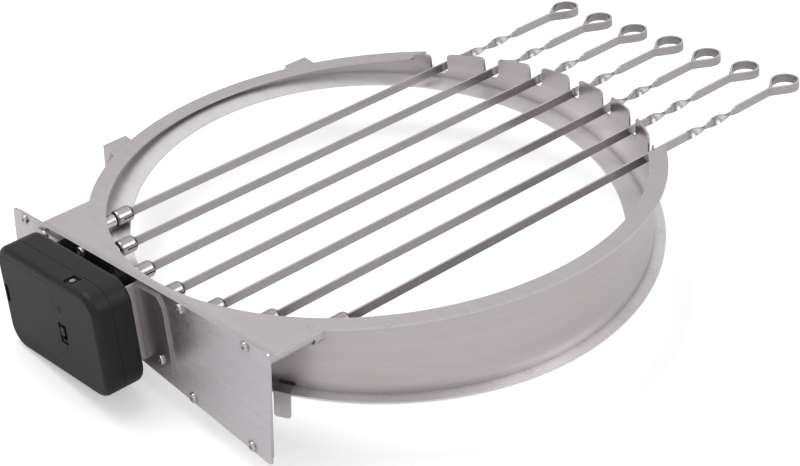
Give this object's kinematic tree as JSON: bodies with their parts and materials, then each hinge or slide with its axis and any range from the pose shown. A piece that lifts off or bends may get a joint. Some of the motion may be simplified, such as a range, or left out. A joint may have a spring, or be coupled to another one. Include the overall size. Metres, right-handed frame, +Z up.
{
  "type": "rotisserie spit roaster",
  "caption": "Wedge-shaped steel ring for a round kettle grill, carrying flat skewers that a battery gear motor turns together through a hidden gear chain.",
  "frame": {"origin": "centre of the underside of the bottom flange, the face that rests on the rim of the grill", "axes": "+Z up, square to the bottom flange; +Y along the skewers towards their handles, the drive box is at -Y; +X towards the high side of the wedge, -X is the hinge side"},
  "size_m": [0.5024, 0.6839, 0.142],
  "materials": {
    "brushed_steel": "brushed",
    "polished_steel": "polished",
    "zinc_steel": "satin",
    "gear_steel": "machined",
    "bronze": "sintered",
    "black_plastic": "fine texture",
    "switch_plastic": "satin",
    "white_plastic": "moulded",
    "cell_jacket": "satin",
    "spring_brass": "plated",
    "lead_sheath": "satin"
  },
  "bodies": {
    "frame": {"ring_wall": "brushed_steel", "top_flange": "brushed_steel", "bottom_flange": "brushed_steel", "locating_legs": "brushed_steel", "shelf_gussets": "brushed_steel", "front_plate": "brushed_steel", "bearing_plate": "brushed_steel", "plate_screws": "zinc_steel", "front_bushes": "bronze", "rear_bushes": "brushed_steel", "idler_pins": "zinc_steel", "idler_clips": "zinc_steel", "drive_bush": "bronze", "motor_bracket": "brushed_steel", "bracket_screws": "zinc_steel", "box_mount_screws": "zinc_steel", "box_rear": "black_plastic", "box_front": "black_plastic", "switch_body": "switch_plastic", "case_screws": "zinc_steel", "battery_cells": "cell_jacket", "battery_contacts": "spring_brass", "dc_motor": "zinc_steel", "reduction_axle": "zinc_steel", "battery_leads": "lead_sheath", "lock_screw": "zinc_steel"},
    "drive": {"drive_gear": "gear_steel", "output_shaft": "gear_steel", "output_gear": "white_plastic"},
    "reduction": {"reduction_gear": "white_plastic"},
    "motor_rotor": {"motor_pinion": "white_plastic"},
    "door": {"battery_door": "black_plastic"},
    "switch": {"switch_slider": "switch_plastic"},
    "idler_1": {"idler_gear_1": "gear_steel"},
    "idler_3": {"idler_gear_3": "gear_steel"},
    "idler_4": {"idler_gear_4": "gear_steel"},
    "idler_5": {"idler_gear_5": "gear_steel"},
    "idler_6": {"idler_gear_6": "gear_steel"},
    "spindle_1": {"spindle_1": "polished_steel", "spindle_gear_1": "gear_steel"},
    "spindle_2": {"spindle_2": "polished_steel", "spindle_gear_2": "gear_steel"},
    "spindle_3": {"spindle_3": "polished_steel", "spindle_gear_3": "gear_steel"},
    "spindle_4": {"spindle_4": "polished_steel", "spindle_gear_4": "gear_steel"},
    "spindle_5": {"spindle_5": "polished_steel", "spindle_gear_5": "gear_steel"},
    "spindle_6": {"spindle_6": "polished_steel", "spindle_gear_6": "gear_steel"},
    "spindle_7": {"spindle_7": "polished_steel", "spindle_gear_7": "gear_steel"},
    "skewer_1": {"skewer_1": "brushed_steel"},
    "skewer_2": {"skewer_2": "brushed_steel"},
    "skewer_3": {"skewer_3": "brushed_steel"},
    "skewer_4": {"skewer_4": "brushed_steel"},
    "skewer_5": {"skewer_5": "brushed_steel"},
    "skewer_6": {"skewer_6": "brushed_steel"},
    "skewer_7": {"skewer_7": "brushed_steel"}
  },
  "joints": [
    {"name": "drive_turn", "type": "hinge", "parent": "frame", "child": "drive", "pos_m": [-0.06423, -0.243, 0.01286], "axis": [0, -1, 0], "continuous": true},
    {"name": "idler_1_turn", "type": "hinge", "parent": "frame", "child": "idler_1", "pos_m": [-0.11066, -0.243, 0.0055], "axis": [0, -1, 0], "continuous": true},
    {"name": "idler_3_turn", "type": "hinge", "parent": "frame", "child": "idler_3", "pos_m": [-0.01781, -0.243, 0.02021], "axis": [0, -1, 0], "continuous": true},
    {"name": "idler_4_turn", "type": "hinge", "parent": "frame", "child": "idler_4", "pos_m": [0.02861, -0.243, 0.02756], "axis": [0, -1, 0], "continuous": true},
    {"name": "idler_5_turn", "type": "hinge", "parent": "frame", "child": "idler_5", "pos_m": [0.07503, -0.243, 0.03491], "axis": [0, -1, 0], "continuous": true},
    {"name": "idler_6_turn", "type": "hinge", "parent": "frame", "child": "idler_6", "pos_m": [0.12145, -0.243, 0.04226], "axis": [0, -1, 0], "continuous": true},
    {"name": "spindle_1_turn", "type": "hinge", "parent": "frame", "child": "spindle_1", "pos_m": [-0.13525, -0.243, 0.01054], "axis": [0, -1, 0], "continuous": true},
    {"name": "spindle_2_turn", "type": "hinge", "parent": "frame", "child": "spindle_2", "pos_m": [-0.08882, -0.243, 0.01789], "axis": [0, -1, 0], "continuous": true},
    {"name": "spindle_3_turn", "type": "hinge", "parent": "frame", "child": "spindle_3", "pos_m": [-0.0424, -0.243, 0.02524], "axis": [0, -1, 0], "continuous": true},
    {"name": "spindle_4_turn", "type": "hinge", "parent": "frame", "child": "spindle_4", "pos_m": [0.00402, -0.243, 0.03259], "axis": [0, -1, 0], "continuous": true},
    {"name": "spindle_5_turn", "type": "hinge", "parent": "frame", "child": "spindle_5", "pos_m": [0.05044, -0.243, 0.03995], "axis": [0, -1, 0], "continuous": true},
    {"name": "spindle_6_turn", "type": "hinge", "parent": "frame", "child": "spindle_6", "pos_m": [0.09686, -0.243, 0.0473], "axis": [0, -1, 0], "continuous": true},
    {"name": "spindle_7_turn", "type": "hinge", "parent": "frame", "child": "spindle_7", "pos_m": [0.14328, -0.243, 0.05465], "axis": [0, -1, 0], "continuous": true},
    {"name": "skewer_1_pull", "type": "slide", "parent": "spindle_1", "child": "skewer_1", "axis": [0, 1, 0], "range_m": [0, 0.03]},
    {"name": "skewer_2_pull", "type": "slide", "parent": "spindle_2", "child": "skewer_2", "axis": [0, 1, 0], "range_m": [0, 0.03]},
    {"name": "skewer_3_pull", "type": "slide", "parent": "spindle_3", "child": "skewer_3", "axis": [0, 1, 0], "range_m": [0, 0.03]},
    {"name": "skewer_4_pull", "type": "slide", "parent": "spindle_4", "child": "skewer_4", "axis": [0, 1, 0], "range_m": [0, 0.03]},
    {"name": "skewer_5_pull", "type": "slide", "parent": "spindle_5", "child": "skewer_5", "axis": [0, 1, 0], "range_m": [0, 0.03]},
    {"name": "skewer_6_pull", "type": "slide", "parent": "spindle_6", "child": "skewer_6", "axis": [0, 1, 0], "range_m": [0, 0.03]},
    {"name": "skewer_7_pull", "type": "slide", "parent": "spindle_7", "child": "skewer_7", "axis": [0, 1, 0], "range_m": [0, 0.03]},
    {"name": "reduction_turn", "type": "hinge", "parent": "frame", "child": "reduction", "pos_m": [-0.03746, -0.269, 0.00765], "axis": [0, -1, 0], "continuous": true},
    {"name": "motor_turn", "type": "hinge", "parent": "frame", "child": "motor_rotor", "pos_m": [-0.01678, -0.27, 0.00474], "axis": [0, -1, 0], "continuous": true},
    {"name": "door_hinge", "type": "hinge", "parent": "frame", "child": "door", "pos_m": [-0.05578, -0.2995, 0.00135], "axis": [-0.1564, 0, 0.9877], "range_deg": [0, 95]},
    {"name": "switch_slide", "type": "slide", "parent": "frame", "child": "switch", "axis": [0.1564, 0, -0.9877], "range_m": [0, 0.005]}
  ],
  "couplings": [
    {"joint": "idler_1_turn", "follows": "drive_turn", "ratio": 1},
    {"joint": "idler_3_turn", "follows": "drive_turn", "ratio": 1},
    {"joint": "idler_4_turn", "follows": "drive_turn", "ratio": 1},
    {"joint": "idler_5_turn", "follows": "drive_turn", "ratio": 1},
    {"joint": "idler_6_turn", "follows": "drive_turn", "ratio": 1},
    {"joint": "spindle_1_turn", "follows": "drive_turn", "ratio": -2.125},
    {"joint": "spindle_2_turn", "follows": "drive_turn", "ratio": -2.125},
    {"joint": "spindle_3_turn", "follows": "drive_turn", "ratio": -2.125},
    {"joint": "spindle_4_turn", "follows": "drive_turn", "ratio": -2.125},
    {"joint": "spindle_5_turn", "follows": "drive_turn", "ratio": -2.125},
    {"joint": "spindle_6_turn", "follows": "drive_turn", "ratio": -2.125},
    {"joint": "spindle_7_turn", "follows": "drive_turn", "ratio": -2.125},
    {"joint": "reduction_turn", "follows": "drive_turn", "ratio": -4.6667},
    {"joint": "motor_turn", "follows": "drive_turn", "ratio": 15.556}
  ]
}
